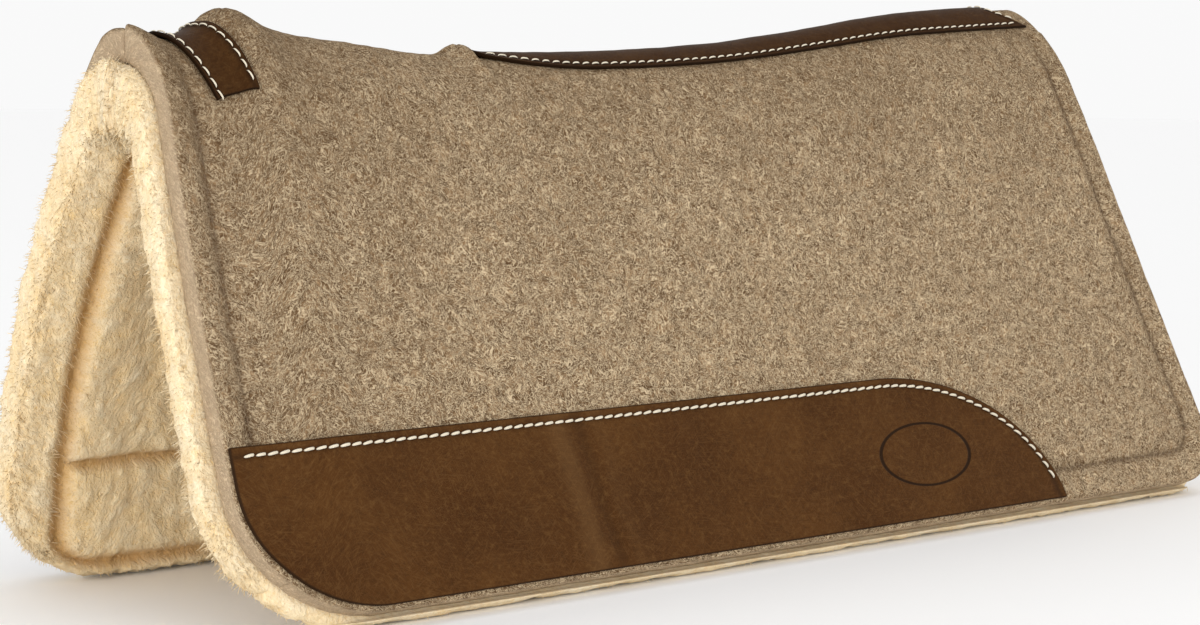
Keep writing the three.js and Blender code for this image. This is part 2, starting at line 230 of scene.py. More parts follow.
def noise(points, size, seed):
    """Smooth noise of about -1 to 1 with features of that size."""
    perm, directions, _ = _lattice(seed)
    p = points / size
    cell = np.floor(p).astype(int)
    f = p - cell
    u = f * f * f * (f * (f * 6 - 15) + 10)
    total = np.zeros(len(p))
    for corner in np.ndindex(2, 2, 2):
        corner = np.array(corner)
        weight = np.prod(np.where(corner, u, 1 - u), axis=1)
        total += weight * np.sum(directions[_hash(perm, cell + corner)] * (f - corner), axis=1)
    return total * 1.6


def tufts(points, size, seed):
    """Distance to the nearest of scattered points, in sizes, and a random number that belongs to it."""
    perm, _, places = _lattice(seed)
    p = points / size
    cell = np.floor(p).astype(int)
    nearest = np.full(len(p), 9.0)
    owner = np.zeros(len(p))
    for step in np.ndindex(3, 3, 3):
        there = cell + np.array(step) - 1
        h = _hash(perm, there)
        distance = np.linalg.norm(there + places[h] - p, axis=1)
        closer = distance < nearest
        nearest = np.where(closer, distance, nearest)
        owner = np.where(closer, places[h, 0], owner)
    return nearest, owner


# ---- Mesh helpers ----
def box_lattice(*places):
    """The surface points (n, 3) of a box lattice over places along its three edges, and its quads."""
    ids = np.full([len(along) for along in places], -1)
    shell = np.zeros(ids.shape, bool)
    shell[[0, -1]] = shell[:, [0, -1]] = True
    shell[:, :, [0, -1]] = True
    ids[shell] = np.arange(shell.sum())
    quads = []
    for axis in range(3):
        for end in (0, -1):
            face = np.take(ids, end, axis=axis)
            q = np.stack([face[:-1, :-1], face[1:, :-1], face[1:, 1:], face[:-1, 1:]], -1).reshape(-1, 4)
            turned = (end == 0) == (axis != 1)
            quads.append(q[:, ::-1] if turned else q)
    points = [along[i] for along, i in zip(places, np.nonzero(shell))]
    return np.stack(points, 1), np.concatenate(quads)


def unit(vectors):
    return vectors / np.maximum(np.linalg.norm(vectors, axis=1), 1e-12)[:, None]


def vertex_normals(points, quads):
    a, b, c, d = (points[quads[:, i]] for i in range(4))
    face = np.cross(c - a, d - b)
    normals = np.zeros_like(points)
    for i in range(4):
        np.add.at(normals, quads[:, i], face)
    return unit(normals)


def outward(points, quads):
    a, b, c, d = (points[quads[:, i]] for i in range(4))
    volume = np.einsum("ij,ij->", a, np.cross(b, c)) + np.einsum("ij,ij->", a, np.cross(c, d))
    return quads[:, ::-1] if volume < 0 else quads


def place(points):
    """Pad millimetres to the row frame's metres."""
    return (points + np.array((FRONT_X, SEAM_Y, 0))) / 1000


def link(made):
    bpy.context.scene.collection.objects.link(made)
    return made


def make_object(name, points, faces, material, attributes=None):
    """points in pad millimetres. attributes: {name: (n,) or (n, 3)}."""
    mesh = bpy.data.meshes.new(name)
    mesh.from_pydata(place(points).tolist(), [], [list(map(int, f)) for f in faces])
    mesh.polygons.foreach_set("use_smooth", np.ones(len(mesh.polygons), bool))
    for key, values in (attributes or {}).items():
        kind = "FLOAT" if values.ndim == 1 else "FLOAT_VECTOR"
        layer = mesh.attributes.new(key, kind, "POINT")
        layer.data.foreach_set("value" if values.ndim == 1 else "vector", values.astype(np.float32).ravel())
    mesh.update()
    mesh.materials.append(material)
    return link(bpy.data.objects.new(name, mesh))


def spaced(*runs):
    """Places from runs of (start, end, about this far apart), joined end to end."""
    out = [runs[0][0]]
    for start, end, step in runs:
        count = max(1, round((end - start) / step))
        out.extend(start + (end - start) * (i + 1) / count for i in range(count))
    return np.array(out, float)


def rounded(radius, *degrees):
    """Places at those angles round an edge, measured from the face it starts at."""
    return [radius * (1 - math.cos(math.radians(a))) for a in degrees]


def ended(arc, low, high, middle):
    """The middle places with the closer ones of a rounded edge before and after them."""
    return np.concatenate([[low + a for a in arc], middle, [high - a for a in arc[::-1]]])


def rounded_box(p, low, high, radius):
    """Rounds the edges of a box that the points lie on the surface of. Infinite limits stay square."""
    inner = np.clip(p, np.add(low, radius), np.subtract(high, radius))
    d = p - inner
    size = np.linalg.norm(d, axis=1)
    scale = np.where(size > 1e-9, radius / np.maximum(size, 1e-9), 1)
    return inner + d * np.where(size[:, None] > 1e-9, scale[:, None], 1)


def round_corners(side, x, b, ahead=0.0):
    """Wraps the lines of a square lattice round the two lower corners of a flank."""
    x, b = x.copy(), b.copy()
    for centre, radius, over, sign in (
        (STANCE[side]["corner"],) * 2 + (ahead, -1), (LENGTH - REAR_CORNER, REAR_CORNER, 0.0, 1)
    ):
        stretch = (radius + over) / radius
        vx = np.maximum(sign * (x - centre), 0) / stretch
        vb = np.maximum(radius - b, 0)
        inside = (vx > 0) & (vb > 0)
        k = np.where(inside, np.maximum(vx, vb) / np.maximum(np.hypot(vx, vb), 1e-9), 1)
        x = np.where(inside, centre + sign * vx * k * stretch, x)
        b = np.where(inside, radius - vb * k, b)
    return x, b


def to_arc(flank, x, b, top):
    """Arc distance of nominal height b, whose top row is at arc distance `top`."""
    height = flank.length(x) - top
    kept = 110.0
    actual = np.where(b <= kept, b, kept + (b - kept) * (height - kept) / (NOMINAL - kept))
    return flank.length(x) - actual


def inset(x, b, ends, bottom, front_radius, rear_radius):
    """Distance inside a rounded outline that lies inside the flank's own outline."""
    dx = np.minimum(x - ends, LENGTH - ends - x)
    db = b - bottom
    r = np.where(x < LENGTH / 2, front_radius, rear_radius)
    px, pb = r - dx, r - db
    round_it = r - np.hypot(np.maximum(px, 0), np.maximum(pb, 0))
    return np.where((px > 0) & (pb > 0), round_it, np.minimum(dx, db))


def edge_seam(side, x, b):
    return inset(x, b, SEAM_ENDS, SEAM_LOW, STANCE[side]["corner"] - SEAM_ENDS, SEAM_TURN)


def wear_row(x, b, margin=WEAR_ROW):
    """Signed distance above the wear leather's stitched line."""
    top = WEAR_HEIGHT - margin
    sweep = WEAR_SWEEP - margin
    past = np.clip(x - WEAR_STRAIGHT, 0, None) / sweep
    reach = np.hypot(past, np.clip(b - WEAR_TIP, 0, None) / (top - WEAR_TIP))
    return np.where(x < WEAR_STRAIGHT, b - top, (reach - 1) * (top - WEAR_TIP))


# ---- Materials ----
def srgb(r, g, b):
    def linear(c):
        return ((c / 255 + 0.055) / 1.055) ** 2.4 if c > 10 else c / 255 / 12.92

    return (linear(r), linear(g), linear(b), 1.0)


class Shader:
    """A material and short calls that add nodes to it."""

    def __init__(self, name, roughness):
        self.material = bpy.data.materials.new(name)
        self.material.use_nodes = True
        self.tree = self.material.node_tree
        self.bsdf = self.tree.nodes["Principled BSDF"]
        self.bsdf.inputs["Roughness"].default_value = roughness

    def node(self, kind, inputs=None, out=0, **props):
        made = self.tree.nodes.new(kind)
        for key, value in props.items():
            setattr(made, key, value)
        for key, value in (inputs or {}).items():
            socket = made.inputs[key]
            if isinstance(value, bpy.types.NodeSocket):
                self.tree.links.new(value, socket)
            else:
                socket.default_value = value
        return made.outputs[out]

    def attribute(self, name, out="Vector"):
        return self.node("ShaderNodeAttribute", attribute_name=name, out=out)

    def math(self, operation, a, b=0.0):
        return self.node("ShaderNodeMath", {0: a, 1: b}, operation=operation)

    def span(self, value, low, high, to_low=0.0, to_high=1.0):
        inputs = {"Value": value, "From Min": low, "From Max": high, "To Min": to_low, "To Max": to_high}
        return self.node("ShaderNodeMapRange", inputs, interpolation_type="SMOOTHSTEP")

    def mix(self, factor, a, b, blend="MIX"):
        inputs = {0: factor, 6: a, 7: b}
        return self.node("ShaderNodeMix", inputs, out=2, data_type="RGBA", blend_type=blend)

    def layered(self, colour, *layers):
        """The colour with others laid over it, each as (factor, a share or the span it goes through, rgb)."""
        for factor, share, rgb in layers:
            ranged = isinstance(share, tuple)
            factor = self.span(factor, *share) if ranged else self.math("MULTIPLY", factor, share)
            colour = self.mix(factor, colour, srgb(*rgb))
        return colour

    def noise(self, vector, scale, detail=2.0, roughness=0.5, out=0):
        inputs = {"Vector": vector, "Scale": scale, "Detail": detail, "Roughness": roughness}
        return self.node("ShaderNodeTexNoise", inputs, out=out)

    def mapped(self, vector, scale, turn=(0, 0, 0), shift=(0, 0, 0)):
        """Turned about Z first and then stretched."""
        turned = self.node("ShaderNodeVectorRotate", {"Vector": vector, "Rotation": turn},
                           rotation_type="EULER_XYZ")
        return self.node("ShaderNodeMapping", {"Vector": turned, "Scale": scale, "Location": shift})

    def warped(self, vector, scale, amount):
        """The vector pushed about by coloured noise."""
        colour = self.noise(vector, scale, 1, out=1)
        off = self.node("ShaderNodeVectorMath", {0: colour, 1: (0.5, 0.5, 0.5)}, operation="SUBTRACT")
        push = self.node("ShaderNodeVectorMath", {0: off, "Scale": amount}, operation="SCALE")
        return self.node("ShaderNodeVectorMath", {0: vector, 1: push}, operation="ADD")

    def fibres(self, vector, angle, length, width, thin, shift=0.0):
        """1 on thin strands that run at that angle in the surface, 0 between them. Metres."""
        p = self.mapped(vector, (1 / length, 1 / width, 1 / width), (0, 0, angle), (shift,) * 3)
        n = self.noise(p, 1.0, 1.0, 0.4)
        off = self.math("ABSOLUTE", self.math("SUBTRACT", n, 0.5))
        return self.span(off, thin, 0.0)

    def strands(self, vector, angles, length, width, thin, first=0):
        """Fibres that run at three angles, laid over each other."""
        a, b, c = (self.fibres(vector, angles[k], length, width, thin, first + k) for k in range(3))
        return self.math("MAXIMUM", self.math("MAXIMUM", a, b), c)

    def bump(self, height, strength, distance, **more):
        inputs = {"Height": height, "Strength": strength, "Distance": distance, **more}
        return self.node("ShaderNodeBump", inputs)

    def finish(self, colour, normal=None, roughness=None, **constants):
        for value, socket in ((colour, "Base Color"), (normal, "Normal"), (roughness, "Roughness")):
            if value is not None:
                self.tree.links.new(value, self.bsdf.inputs[socket])
        for key, value in constants.items():
            self.bsdf.inputs[key.replace("_", " ")].default_value = value
        return self.material


def felt_material():
    m = Shader("heathered_wool_felt", 0.95)
    flat = m.attribute("flat")
    curl = m.warped(m.warped(flat, 55, 0.012), 300, 0.0035)
    pale = m.strands(curl, (0.5, 1.7, 2.6), 0.016, 0.0016, 0.045)
    dark = m.strands(curl, (0.1, 1.1, 2.2), 0.009, 0.0020, 0.06, 5)
    blotch = m.span(m.noise(curl, 115, 5, 0.72), 0.36, 0.64)
    broad = m.span(m.noise(curl, 24, 3, 0.6), 0.36, 0.64)
    grain = m.noise(curl, 800, 2, 0.7)
    colour = m.mix(blotch, srgb(90, 66, 42), srgb(168, 137, 101))
    # The layer that darkens the felt towards the top and the front is painted shade, with a little random
    # tone in it.
    colour = m.layered(
        colour, (broad, 0.4, (116, 90, 61)), (dark, 0.5, (72, 50, 32)), (pale, 0.9, (222, 199, 163)),
        (grain, (0.5, 0.75, 0, 0.5), (208, 183, 146)), (grain, (0.5, 0.28, 0, 0.5), (78, 56, 37)),
        (m.attribute("top_front_shade", "Fac"), 0.5, (96, 73, 48)), (m.attribute("cut", "Fac"), 0.58, (204, 180, 150)),
        (m.attribute("shade", "Fac"), 0.85, (78, 57, 38)),
    )
    height = m.math("ADD", m.math("MULTIPLY", pale, 0.5), m.math("ADD", grain, blotch))
    return m.finish(colour, m.bump(height, 0.7, 0.0012), Specular_IOR_Level=0.1)


def fleece_material():
    m = Shader("cream_fleece", 0.98)
    flat = m.attribute("flat")
    hollow_shade = m.attribute("hollow_shade", "Fac")
    curl = m.warped(m.warped(flat, 70, 0.009), 260, 0.003)
    strand = m.strands(curl, (1.35, 1.9, 0.9), 0.008, 0.0011, 0.1)
    knots = m.node("ShaderNodeTexVoronoi", {"Vector": curl, "Scale": 230.0}, out=0, feature="SMOOTH_F1")
    between = m.span(knots, 0.3, 0.65)
    tone = m.span(m.noise(flat, 45, 3, 0.6), 0.3, 0.7)
    grain = m.noise(curl, 1100, 2, 0.6)
    ridges = m.noise(m.mapped(curl, (1, 0.7, 1)), 290, 3, 0.6)
    # The darker golden in the ridges' valleys, between the curl knots, in the crevices and along the creases
    # is painted shade.
    colour = m.mix(tone, srgb(235, 208, 157), srgb(240, 222, 186))
    colour = m.layered(
        colour, (ridges, (0.52, 0.36, 0, 0.4), (226, 184, 112)), (between, 0.16, (214, 176, 116)),
        (strand, 0.35, (252, 244, 224)), (grain, (0.3, 0.6, 0.25, 0), (222, 190, 134)),
        (hollow_shade, 0.6, (232, 190, 116)), (m.attribute("crease", "Fac"), 0.75, (186, 136, 62)),
    )
    coarse = m.bump(ridges, 0.75, 0.0028)
    height = m.math("ADD", m.math("MULTIPLY", strand, 0.7), grain)
    normal = m.bump(height, 0.45, 0.001, Normal=coarse)
    return m.finish(colour, normal, Sheen_Weight=0.12, Sheen_Roughness=0.5, Specular_IOR_Level=0.05)


def leather_material(name, depth):
    """depth darkens the leather: 1 as it is, less for a darker piece."""
    m = Shader(name, 0.5)
    flat = m.attribute("flat")
    edge = m.attribute("edge", "Fac")
    wrinkle = m.attribute("wrinkle", "Fac")
    wavy = m.warped(flat, 35, 0.012)
    broad = m.span(m.noise(wavy, 14, 4, 0.6), 0.3, 0.72)
    cloud = m.span(m.noise(wavy, 60, 3, 0.6), 0.25, 0.75)
    grain = m.noise(flat, 900, 3, 0.6)
    worn = m.noise(wavy, 260, 4, 0.7)
    scratch = m.strands(m.warped(flat, 20, 0.02), (0.15, 1.2, 2.4), 0.03, 0.0016, 0.03)
    pores = m.node("ShaderNodeTexVoronoi", {"Vector": flat, "Scale": 1400.0}, out=0)
    colour = m.mix(broad, srgb(66, 38, 16), srgb(86, 54, 26))
    colour = m.layered(
        colour, (cloud, 0.5, (72, 43, 19)), (worn, (0.5, 0.72, 0, 0.4), (108, 76, 44)),
        (worn, (0.5, 0.3, 0, 0.4), (52, 31, 14)), (scratch, 0.22, (122, 90, 58)),
        (grain, (0.45, 0.75, 0, 0.25), (100, 68, 38)), (wrinkle, (0.0, 1.0, 0, 0.32), (120, 88, 58)),
        (wrinkle, (0.0, -1.0, 0, 0.4), (52, 32, 15)), (edge, (0.45, 1.0), (46, 29, 16)),
        (m.attribute("row", "Fac"), 0.6, (48, 30, 17)),
    )
    ring = m.node("ShaderNodeVectorMath", {0: m.attribute("mark")}, operation="LENGTH", out=1)
    ring = m.span(m.math("ABSOLUTE", m.math("SUBTRACT", ring, 1.0)), 0.052, 0.022)
    colour = m.layered(colour, (ring, 0.9, (34, 21, 12)))
    colour = m.mix(1.0, colour, (depth, depth, depth * 0.84, 1), "MULTIPLY")
    rough = m.span(grain, 0.2, 0.8, 0.45, 0.65)
    height = m.math("ADD", m.math("MULTIPLY", pores, 0.5), m.math("ADD", grain, worn))
    height = m.math("SUBTRACT", height, m.math("MULTIPLY", ring, 2.0))
    return m.finish(colour, m.bump(height, 0.35, 0.0005), rough, Specular_IOR_Level=0.04)


def thread_material(name, pale, hollow_shade):
    m = Shader(name, 0.7)
    flat = m.attribute("flat")
    end = m.attribute("end", "Fac")
    along = m.mapped(flat, (1, 1, 1), (0, 0, 0.6))
    twist = m.node("ShaderNodeTexWave", {"Vector": along, "Scale": 420.0, "Distortion": 1.0}, out=1)
    fuzz = m.noise(flat, 2500, 2, 0.6)
    colour = m.mix(m.span(fuzz, 0.3, 0.7), srgb(*pale), srgb(*(0.9 * c for c in pale)))
    # The stitch's ends, where the thread sinks into its hole, are coloured darker: painted shade.
    colour = m.layered(colour, (end, (0.5, 1.0), hollow_shade))
    return m.finish(colour, m.bump(m.math("ADD", twist, fuzz), 0.4, 0.0004))


FELT_LOOK = felt_material()
FLEECE_LOOK = fleece_material()
LEATHER_LOOK = leather_material("dark_brown_leather", 0.9)
DARK_LEATHER_LOOK = leather_material("darker_brown_leather", 0.54)
THREADS = {
    "white_thread": thread_material("off_white_thread", (232, 221, 198), (54, 38, 24)),
    "felt_thread": thread_material("brown_thread", (112, 88, 62), (84, 64, 45)),
}


# ---- Felt panels ----
def pucker(side, x, s):
    """The felt gathers up where the notch ends and the spine leather starts, and the near panel's front
    corner stands a little above the off one's."""
    rise = 8.0 * bell(x - 256, 7) * bell(s, 15)
    crease = -2.2 * bell((x - 270) + 0.9 * (s - 24), 2.2) * smooth(s, 12, 20) * (1 - smooth(s, 30, 52))
    crease += 1.2 * bell((x - 262) + 0.9 * (s - 24), 3.5) * smooth(s, 12, 20) * (1 - smooth(s, 30, 48))
    if side < 0:
        corner = 1.2 * bell(x - 2, 14) * bell(s - 1, 10)
    else:
        corner = 1.8 * bell(s - 24, 9) * (1 - smooth(x, 4, 36)) - 1.0 * bell(x, 8) * bell(s, 8)
    return rise + crease + corner


def felt_relief(x, b, s, side, flat):
    """How far the felt's face stands off the smooth flank, before any leather presses on it."""
    seam = edge_seam(side, x, b)
    groove = (-2.4 * bell(seam, 4.2) - 0.7 * bell(seam, 1.3)) * smooth(s, 14, 60)
    rim = 0.9 * smooth(-seam, 1, 9) * smooth(s, 10, 40)
    lumps = 0.55 * noise(flat, 38, 11) + 0.4 * noise(flat, 13, 12) + 0.28 * noise(flat, 6, 13)
    return groove + rim + lumps + pucker(side, x, s)


def front_top(x, s):
    """1 at the front of the ridge, where the felt is thick and the lining low, falling to 0 round it."""
    return (1 - smooth(x, 2, 30)) * (1 - smooth(s, 14, 60))


def pressed(x, b, s):
    """1 where a leather lies on the felt, 0 clear of it."""
    wear = (wear_row(x, b, 0.0) < 3) & (x < WEAR_STRAIGHT + WEAR_SWEEP + 4)
    spine = (x > 262) & (s < 32)
    strap_v = (x - STRAP["front"] - 0.18 * s) / STRAP["width"]
    strap = (strap_v > -0.15) & (strap_v < 1.15) & (s < 74)
    return np.where(wear | spine | strap, 1.0, 0.0)


def felt_panel(name, side):
    flank = FLANKS[side]
    r = 3.2
    arc = rounded(r, 0, 22, 45, 67)
    xs = ended(arc, 0, LENGTH, spaced((r, 32, 2.0), (32, LENGTH - 32, 3.6), (LENGTH - 32, LENGTH - r, 2.0)))
    high = NOMINAL - 60
    bs = ended(arc, 0, NOMINAL, spaced((r, 36, 2.0), (36, high, 3.6), (high, NOMINAL - r, 2.6)))
    cs = ended(arc, 0, FELT, np.linspace(r, FELT - r, 6))
    p, quads = box_lattice(xs, bs, cs)
    p = rounded_box(p, (0, 0, 0), (LENGTH, NOMINAL, FELT), r)
    x, b = round_corners(side, p[:, 0], p[:, 1])
    depth = p[:, 2]
    seam = flank.seam_arc(x, -depth, gap_half(x))
    s = to_arc(flank, x, b, seam)
    thicker = 1 + 0.36 * front_top(x, s)
    real_b = flank.length(x) - s
    flat = np.stack([x + depth * np.where(x < LENGTH / 2, -1, 1), side * (s + depth), 0 * s], 1)
    outer = 1 - smooth(depth, 0.0, 6.0)
    relief = felt_relief(x, real_b, s, side, flat)
    under = pressed(x, real_b, s)
    relief = np.where(under > 0, np.minimum(relief, -0.1), relief)
    cut_bumps = 0.35 * noise(flat, 5, 14) + 0.5 * noise(flat, 14, 15)
    points = flank.at(x, s, -depth * thicker + relief * outer)
    quads = outward(points, quads)
    normals = vertex_normals(points, quads)
    rim = np.where((depth > 2.5) & (depth < FELT - 1) & (b < NOMINAL - 6), 1.0, 0.0)
    points += normals * (cut_bumps * rim)[:, None]
    seam_d = edge_seam(side, x, real_b)
    shade = (0.45 * bell(seam_d, 1.3) + 0.22 * bell(seam_d, 4.0)) * smooth(s, 20, 70) * outer
    cut = smooth(depth, 0.8, 3.5) * (1 - smooth(depth, FELT, FELT + 1))
    # Painted shade: the felt is coloured darker towards the top and towards the front, where less light
    # falls, with a little random tone in it.
    top_front_shade = 0.55 * (1 - smooth(s, 10, 190)) + 0.35 * (1 - smooth(x, 40, 240)) + 0.2 * noise(flat, 90, 16)
    top_front_shade = np.clip(top_front_shade, 0, 1) * (1 - 0.8 * cut)
    return make_object(name, points, quads, FELT_LOOK,
                       {"flat": flat / 1000, "cut": cut, "shade": shade, "top_front_shade": top_front_shade})


# ---- Padding ----
CLOTH_FRAMES = 20
PUFF_CAP = 7.0
PUFF_PRESSURE = 4.0


def puffed(points, quads, hold):
    """Blows a closed body up as cloth held where hold is 1. Returns how far each point moved."""
    mesh = bpy.data.meshes.new("puff")
    mesh.from_pydata(place(points).tolist(), [], quads.tolist())
    body = link(bpy.data.objects.new("puff", mesh))
    group = body.vertex_groups.new(name="hold")
    for i, weight in enumerate(hold):
        group.add([i], float(weight), "REPLACE")
    cloth = body.modifiers.new("cloth", "CLOTH")
    for key, value in {
        "quality": 6, "mass": 0.25, "tension_stiffness": 12, "compression_stiffness": 12,
        "bending_stiffness": 0.6, "use_pressure": True, "uniform_pressure_force": PUFF_PRESSURE,
        "vertex_group_mass": "hold", "pin_stiffness": 1.0,
    }.items():
        setattr(cloth.settings, key, value)
    cloth.settings.effector_weights.gravity = 0.0
    cloth.point_cache.frame_start = 1
    cloth.point_cache.frame_end = CLOTH_FRAMES
    scene = bpy.context.scene
    for step in range(1, CLOTH_FRAMES + 1):
        scene.frame_set(step)
    applied = body.evaluated_get(bpy.context.evaluated_depsgraph_get()).data
    after = np.empty(len(points) * 3)
    applied.vertices.foreach_get("co", after)
    moved = after.reshape(-1, 3) * 1000 - place(points) * 1000
    scene.frame_set(1)
    bpy.data.objects.remove(body)
    bpy.data.meshes.remove(mesh)
    size = np.linalg.norm(moved, axis=1)
    return moved * np.minimum(1, PUFF_CAP / np.maximum(size, 1e-9))[:, None]


def carried(places, moved, onto):
    """The movement of the coarse body's places, spread smoothly over the places of the fine one."""
    tree = KDTree(len(places))
    for i, at in enumerate(places):
        tree.insert(at, i)
    tree.balance()
    out = np.zeros_like(onto)
    for i, at in enumerate(onto):
        found = tree.find_n(at, 5)
        weights = np.array([1 / (d * d + 1.0) for _, _, d in found])
        out[i] = (moved[[k for _, k, _ in found]] * weights[:, None]).sum(0) / weights.sum()
    return out


# ---- Fleece linings ----
def fleece_inner(x, z, stance):
    top = ridge(x) - PILE_TOP
    shoulder = top - PILE_CAP
    cap = np.clip((z - shoulder) / PILE_CAP, 0, 1)
    up = np.clip(z / shoulder, 0, 1)
    line = lerp(stance["foot"], PILE_TOP_HALF, up) - 4 * stance["bow"] * up * (1 - up)
    return np.maximum(line * np.sqrt(1 - cap * cap), gap_half(x))


def fleece_body(side, xs, bs, cs, r):
    """A lining's smooth body over a lattice: its points, quads and where each point lies on the flank."""
    flank, stance = FLANKS[side], STANCE[side]
    ahead = stance["ahead"]
    p, quads = box_lattice(xs, bs, cs)
    p = rounded_box(p, (-ahead, 0, 0), (LENGTH, 1e6, PILE_THICK), r)
    x, b = round_corners(side, p[:, 0], p[:, 1], ahead)
    c = p[:, 2] / PILE_THICK
    lift = np.full(len(x), -(FELT + 0.3))
    top = flank.seam_arc(x, lift, gap_half(x))
    s = to_arc(flank, x, b, top)
    roll = stance["roll"] * (1 - smooth(x, -ahead, -1.5)) * (1 - smooth(c, 0.0, 0.6))
    low_b = flank.length(x) - s
    drop = 8.0 * (1 - smooth(low_b, 0, 45)) * (1 - smooth(c, 0.1, 0.9))
    tuck = 12.0 * (1 - smooth(low_b - drop, -4.5, -0.8)) * (1 - smooth(c, 0.0, 0.8)) * (low_b < 9)
    out = flank.at(x, s + drop, lift + roll + tuck)
    z_top = flank.at(x, top, lift)[:, 2]
    z_low = flank.at(x, flank.length(x), lift)[:, 2]
    up = np.clip((out[:, 2] - z_low) / (z_top - z_low), 0, 1)
    z = out[:, 2] - z_low - (z_top - z_low - (ridge(x) - PILE_TOP)) * up**3
    inner = np.stack([lengthwise(x, z), side * fleece_inner(x, z, stance), z], 1)
    at_front = 1 - smooth(x + ahead, 4, 40)
    at_rear = 1 - smooth(LENGTH - x, 4, 40)
    below = s - top
    rim = 1 - 0.2 * np.maximum(at_front, at_rear) * smooth(below, 30, 110)
    rim += 0.3 * at_front * (1 - smooth(below, 10, 60))
    points = out + (inner - out) * (c * rim)[:, None]
    points[:, 2] -= 6.3 * front_top(x, s)
    return points, outward(points, quads), x, s, c, top


def quilting(side, x, b, c):
    """1 on the seam lines that quilt the lining to the felt, falling to 0 beside them. The off lining's pile
    hangs down from its seams, so its lines lie lower on the inner face."""
    b = b + (12 + 0.08 * b) * c * (side > 0)
    seam = inset(x, b, SEAM_ENDS, SEAM_LOW, 24, SEAM_TURN)
    row = wear_row(x, b)
    lines = np.maximum(bell(seam, 3.4), 0.9 * bell(row, 2.8) * (seam > 0) * (x < WEAR_STRAIGHT + WEAR_SWEEP))
    return lines * smooth(c, 0.4, 0.8)


def pile(flat, seed):
    """Height of the fleece pile and how far down in a crevice each place is, for the painted shade there."""
    warp = np.stack([noise(flat, 22, seed + k) for k in range(3)], 1) * 6
    p = (flat + warp) * np.array((1.25, 0.5, 1.0))
    big, tall = tufts(p, 11.0, seed + 4)
    small, short = tufts(flat + warp, 5.0, seed + 5)
    dome = np.clip(1 - big * 1.1, 0, 1) ** 0.8
    curl = np.clip(1 - small * 1.1, 0, 1) ** 0.8
    waves = noise((flat + warp * 1.5) * np.array((1.0, 0.3, 1.0)), 8, seed + 7)
    height = 1.5 * dome * (0.5 + tall) + 2.1 * curl * (0.4 + short) + 1.6 * noise(flat, 34, seed + 6)
    height += 0.9 * waves
    hollow_shade = 1 - np.clip(0.25 + 0.45 * dome + 0.4 * curl + 0.4 * waves, 0, 1)
    return height - 1.5, hollow_shade


HAIR_POINTS = 10  # three rings of three and a tip


def hairs(points, normals, comb, length, radius, seed):
    """A thin curved hair at each point: points, triangles and how far along its hair each point lies."""
    rng = np.random.default_rng(seed)
    n = len(points)
    length = length * rng.uniform(0.6, 1.25, n)
    turn = rng.uniform(-1.2, 1.2, n)
    side = np.cross(normals, comb)
    comb = comb * np.cos(turn)[:, None] + side * np.sin(turn)[:, None]
    side = np.cross(normals, comb)
    lean = rng.uniform(0.1, 0.9, n)
    twist = rng.uniform(-0.5, 0.5, n)
    centre = points - normals * 0.8 + side * rng.uniform(-1.2, 1.2, n)[:, None]
    centre = centre + comb * rng.uniform(-1.2, 1.2, n)[:, None]
    rows = []
    for k in range(4):
        t = k / 3
        if k:
            angle = lean * (0.5 + 1.3 * t)
            centre = centre + (length / 3)[:, None] * (
                normals * np.cos(angle)[:, None] + comb * np.sin(angle)[:, None]
                + side * (twist * t)[:, None])
        wide = radius * (1 - 0.5 * t)
        ring = [centre + side * (wide * math.cos(a)) + comb * (wide * math.sin(a))
                for a in (0.0, 2.094, 4.189)]
        rows.append(ring if k < 3 else [centre])
    verts = np.stack([q for row in rows for q in row], 1)
    tris = [(0, 1, 2), (7, 6, 9), (8, 7, 9), (6, 8, 9)]  # its root and its tip
    for row in (0, 3):
        for q in range(3):
            a, b = row + q, row + (q + 1) % 3
            tris += [(b, a, b + 3), (b + 3, a, a + 3)]
    tris = np.array(tris)
    faces = (tris[None] + (np.arange(n) * HAIR_POINTS)[:, None, None]).reshape(-1, 3)
    end = np.tile(np.append(np.repeat((0, 0.34, 0.67), 3), 1.0), n)
    return verts.reshape(-1, 3), faces, end


